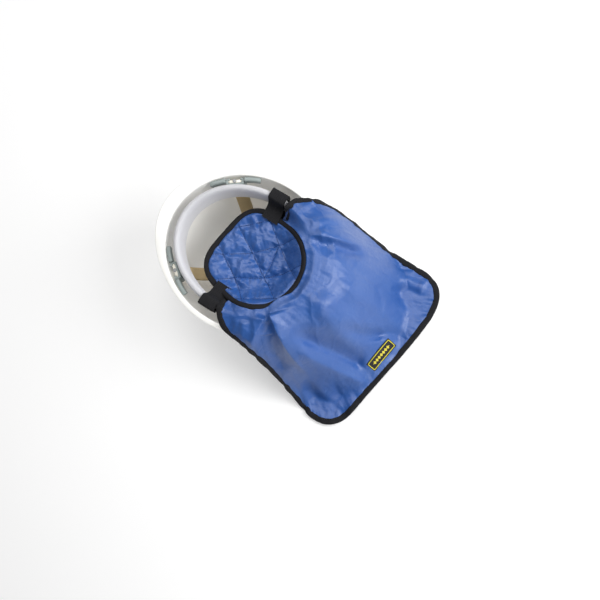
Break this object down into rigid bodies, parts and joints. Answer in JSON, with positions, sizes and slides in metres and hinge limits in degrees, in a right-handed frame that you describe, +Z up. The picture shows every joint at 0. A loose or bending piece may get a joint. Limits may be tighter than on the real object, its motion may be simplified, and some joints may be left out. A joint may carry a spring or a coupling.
{
  "type": "hard hat cooling pad with neck shade",
  "caption": "Quilted cooling pad strapped to the headband of an upturned hard hat, with a bound neck shade that falls over the rear rim.",
  "frame": {"origin": "middle of the flat on the crown, on which the upturned hat lies", "axes": "+Z up through the open hat, +Y to the rear where the shade falls, +X to the wearer's left as the hat lies"},
  "size_m": [0.271, 0.3816, 0.1464],
  "materials": {
    "shell_plastic": "smooth moulded polyethylene, slightly glossy",
    "bracket_plastic": "moulded grey-green plastic",
    "key_plastic": "moulded cream nylon",
    "crown_webbing": "woven beige webbing",
    "band_plastic": "moulded grey-white plastic",
    "brow_foam": "smooth coated foam",
    "dark_plastic": "moulded black plastic with fine grain",
    "blue_nylon": "satin woven nylon",
    "lining_fabric": "plain woven lining",
    "core_foam": "absorbent batting",
    "black_binding": "ribbed grosgrain tape",
    "black_webbing": "ribbed webbing",
    "hook_and_loop": "hook-and-loop pile",
    "label_black": "woven label",
    "label_yellow": "embroidered yarn"
  },
  "bodies": {
    "hard_hat": {"shell": "shell_plastic", "bracket_front_right": "bracket_plastic", "bracket_front_left": "bracket_plastic", "bracket_rear_right": "bracket_plastic", "bracket_rear_left": "bracket_plastic", "strap_key_front_right": "key_plastic", "strap_key_front_left": "key_plastic", "strap_key_rear_right": "key_plastic", "strap_key_rear_left": "key_plastic", "crown_strap_upper": "crown_webbing", "crown_strap_lower": "crown_webbing", "headband": "band_plastic", "brow_pad": "brow_foam", "nape_housing": "band_plastic", "nape_pad": "brow_foam", "pad_cover": "blue_nylon", "pad_core": "core_foam", "pad_lining": "lining_fabric", "pad_binding": "black_binding", "left_over_strap": "black_webbing", "right_over_strap": "black_webbing", "left_back_strap": "black_webbing", "right_back_strap": "black_webbing", "left_loop_patch": "hook_and_loop", "right_loop_patch": "hook_and_loop", "yoke_face": "blue_nylon", "yoke_lining": "lining_fabric", "right_lobe_binding": "black_binding", "left_lobe_binding": "black_binding", "right_lobe_front_binding": "black_binding", "left_lobe_front_binding": "black_binding"},
    "shade_skirt": {"skirt_face": "blue_nylon", "skirt_lining": "lining_fabric", "right_side_binding": "black_binding", "left_side_binding": "black_binding", "hem_binding": "black_binding", "label_patch": "label_black", "label_border": "label_yellow"},
    "left_strap_tab": {"left_tab": "black_webbing", "left_hook_patch": "hook_and_loop"},
    "right_strap_tab": {"right_tab": "black_webbing", "right_hook_patch": "hook_and_loop"},
    "knob": {"ratchet_knob": "dark_plastic", "ratchet_pinion": "band_plastic"},
    "left_band_tail": {"band_tail_left": "band_plastic"},
    "right_band_tail": {"band_tail_right": "band_plastic"}
  },
  "joints": [
    {"name": "shade_lift", "type": "hinge", "parent": "hard_hat", "child": "shade_skirt", "pos_m": [0, 0.112, 0.141], "axis": [1, 0, 0], "range_deg": [0, 70]},
    {"name": "left_tab_peel", "type": "hinge", "parent": "hard_hat", "child": "left_strap_tab", "pos_m": [0.09309, 0.01308, 0.1402], "axis": [0.1392, -0.9903, 0], "range_deg": [0, 80]},
    {"name": "right_tab_peel", "type": "hinge", "parent": "hard_hat", "child": "right_strap_tab", "pos_m": [-0.09309, -0.01308, 0.1402], "axis": [-0.1392, 0.9903, 0], "range_deg": [0, 80]},
    {"name": "knob_turn", "type": "hinge", "parent": "hard_hat", "child": "knob", "pos_m": [-0.01392, 0.09903, 0.112], "axis": [0.1392, -0.9903, 0], "range_deg": [0, 120]},
    {"name": "left_tail_slide", "type": "slide", "parent": "hard_hat", "child": "left_band_tail", "axis": [-0.9903, -0.1392, 0], "range_m": [0, 0.008]},
    {"name": "right_tail_slide", "type": "slide", "parent": "hard_hat", "child": "right_band_tail", "axis": [0.9903, 0.1392, 0], "range_m": [0, 0.008]}
  ],
  "couplings": [
    {"joint": "left_tail_slide", "follows": "knob_turn", "m_per_rad": 0.0038},
    {"joint": "right_tail_slide", "follows": "knob_turn", "m_per_rad": 0.0038}
  ]
}
